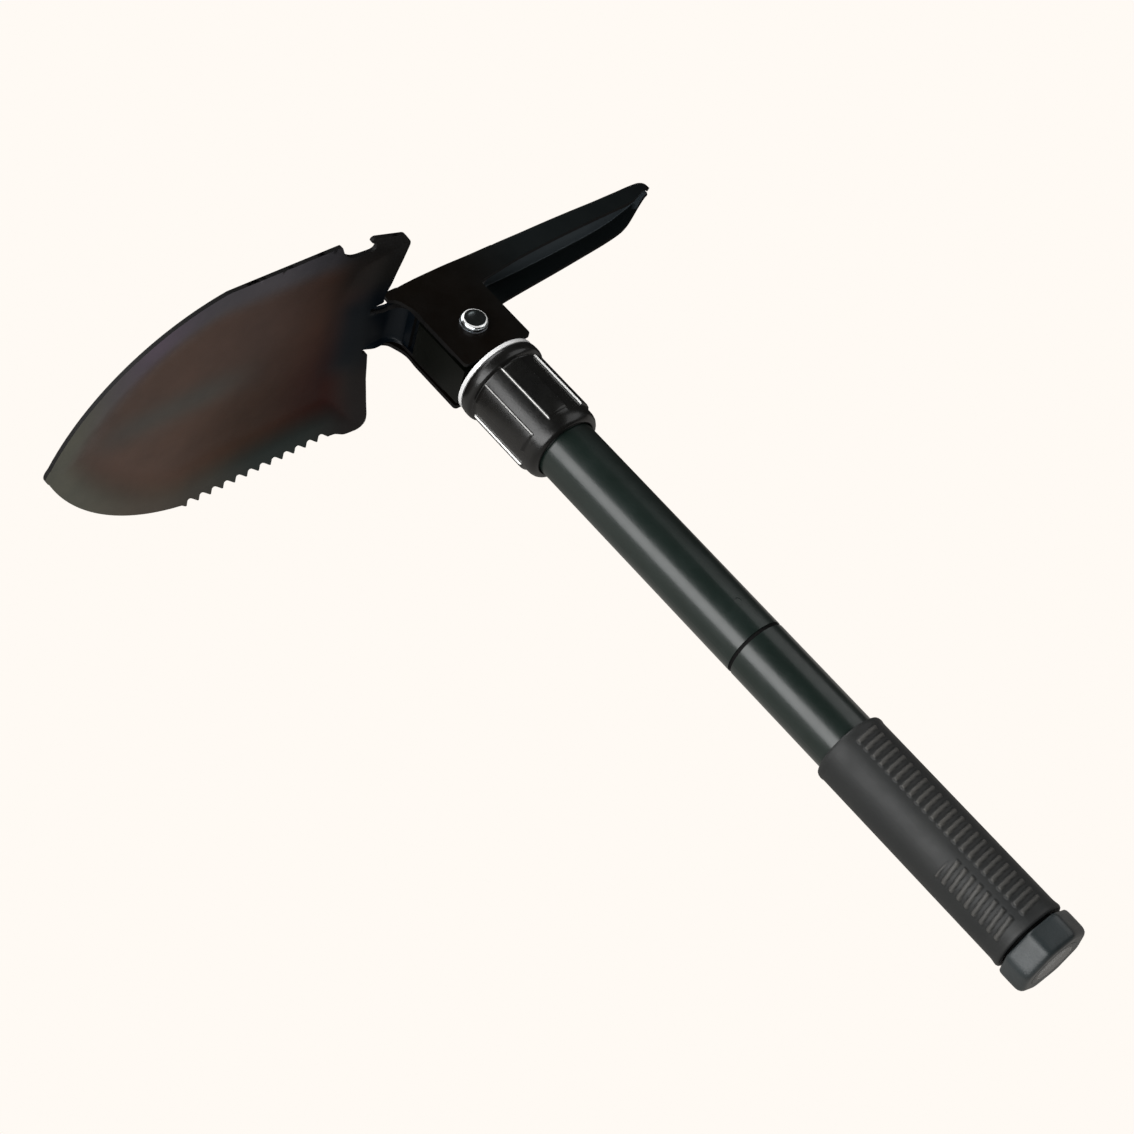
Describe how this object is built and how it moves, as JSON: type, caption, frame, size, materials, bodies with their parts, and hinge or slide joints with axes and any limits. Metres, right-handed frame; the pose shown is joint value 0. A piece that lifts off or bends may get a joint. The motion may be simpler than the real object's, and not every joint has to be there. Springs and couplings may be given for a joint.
{
  "type": "folding camp shovel",
  "caption": "Folding camp shovel with a saw-edged blade and a pick on one rivet, locked by a screw collar on a two-part handle with a rubber grip.",
  "frame": {"origin": "centre of the end cap's flat butt face", "axes": "+X along the handle towards the head, +Y the way the blade points, +Z along the rivet towards the side with the wire hook; the tool lies on its side"},
  "size_m": [0.3126, 0.2576, 0.105],
  "materials": {
    "blade_paint": "glossy baked black",
    "pick_paint": "glossy baked black",
    "yoke_paint": "glossy black",
    "rivet_steel": "bright",
    "bush_brass": "plain",
    "washer_steel": "bright plated",
    "plain_steel": "zinc plated",
    "collar_paint": "glossy black",
    "tube_paint": "glossy green-black",
    "seal_rubber": "matte",
    "grip_rubber": "matte moulded",
    "cap_plastic": "satin moulded",
    "dial_card": "printed card",
    "needle_paint": "enamel",
    "lens_clear": "clear"
  },
  "bodies": {
    "handle_top": {"yoke": "yoke_paint", "pivot_rivet": "rivet_steel", "pivot_bush": "bush_brass", "pivot_washers": "plain_steel", "yoke_pins": "plain_steel", "upper_tube": "tube_paint", "coupling_nut": "plain_steel", "coupling_pins": "plain_steel"},
    "blade_body": {"blade": "blade_paint"},
    "pick_body": {"pick": "pick_paint"},
    "washer_body": {"thrust_washer": "washer_steel"},
    "collar_body": {"locking_collar": "collar_paint"},
    "seal_body": {"joint_washer": "seal_rubber"},
    "handle_bottom": {"coupling_stud": "plain_steel", "lower_tube": "tube_paint", "grip_sleeve": "grip_rubber", "cap_seat": "plain_steel"},
    "o_ring_body": {"cap_o_ring": "seal_rubber"},
    "cap_body": {"end_cap": "cap_plastic", "compass_case": "bush_brass", "compass_dial": "dial_card", "compass_pivot": "plain_steel", "compass_lens": "lens_clear", "compass_ring": "washer_steel"},
    "needle_body": {"compass_needle": "needle_paint"}
  },
  "joints": [
    {"name": "blade_fold", "type": "hinge", "parent": "handle_top", "child": "blade_body", "pos_m": [0.284, 0, 0], "axis": [0, 0, 1], "range_deg": [-90, 90]},
    {"name": "pick_fold", "type": "hinge", "parent": "handle_top", "child": "pick_body", "pos_m": [0.284, 0, 0], "axis": [0, 0, 1], "range_deg": [-90, 0]},
    {"name": "collar_travel", "type": "slide", "parent": "handle_top", "child": "washer_body", "axis": [1, 0, 0], "range_m": [-0.006, 0.0013]},
    {"name": "collar_turn", "type": "hinge", "parent": "washer_body", "child": "collar_body", "pos_m": [0.25, 0, 0], "axis": [1, 0, 0], "range_deg": [-1080, 234]},
    {"name": "handle_travel", "type": "slide", "parent": "handle_top", "child": "seal_body", "axis": [1, 0, 0], "range_m": [-0.0271, 0]},
    {"name": "handle_turn", "type": "hinge", "parent": "seal_body", "child": "handle_bottom", "pos_m": [0.1, 0, 0], "axis": [1, 0, 0], "range_deg": [-3240, 0]},
    {"name": "cap_travel", "type": "slide", "parent": "handle_bottom", "child": "o_ring_body", "axis": [1, 0, 0], "range_m": [-0.0131, 0]},
    {"name": "cap_turn", "type": "hinge", "parent": "o_ring_body", "child": "cap_body", "pos_m": [0.005, 0, 0], "axis": [1, 0, 0], "range_deg": [-2340, 0]},
    {"name": "needle_turn", "type": "hinge", "parent": "cap_body", "child": "needle_body", "pos_m": [0.0042, 0, 0], "axis": [1, 0, 0], "continuous": true}
  ],
  "couplings": [
    {"joint": "collar_travel", "follows": "collar_turn", "m_per_rad": 0.00031831},
    {"joint": "handle_travel", "follows": "handle_turn", "m_per_rad": 0.00047746},
    {"joint": "cap_travel", "follows": "cap_turn", "m_per_rad": 0.00031831}
  ]
}
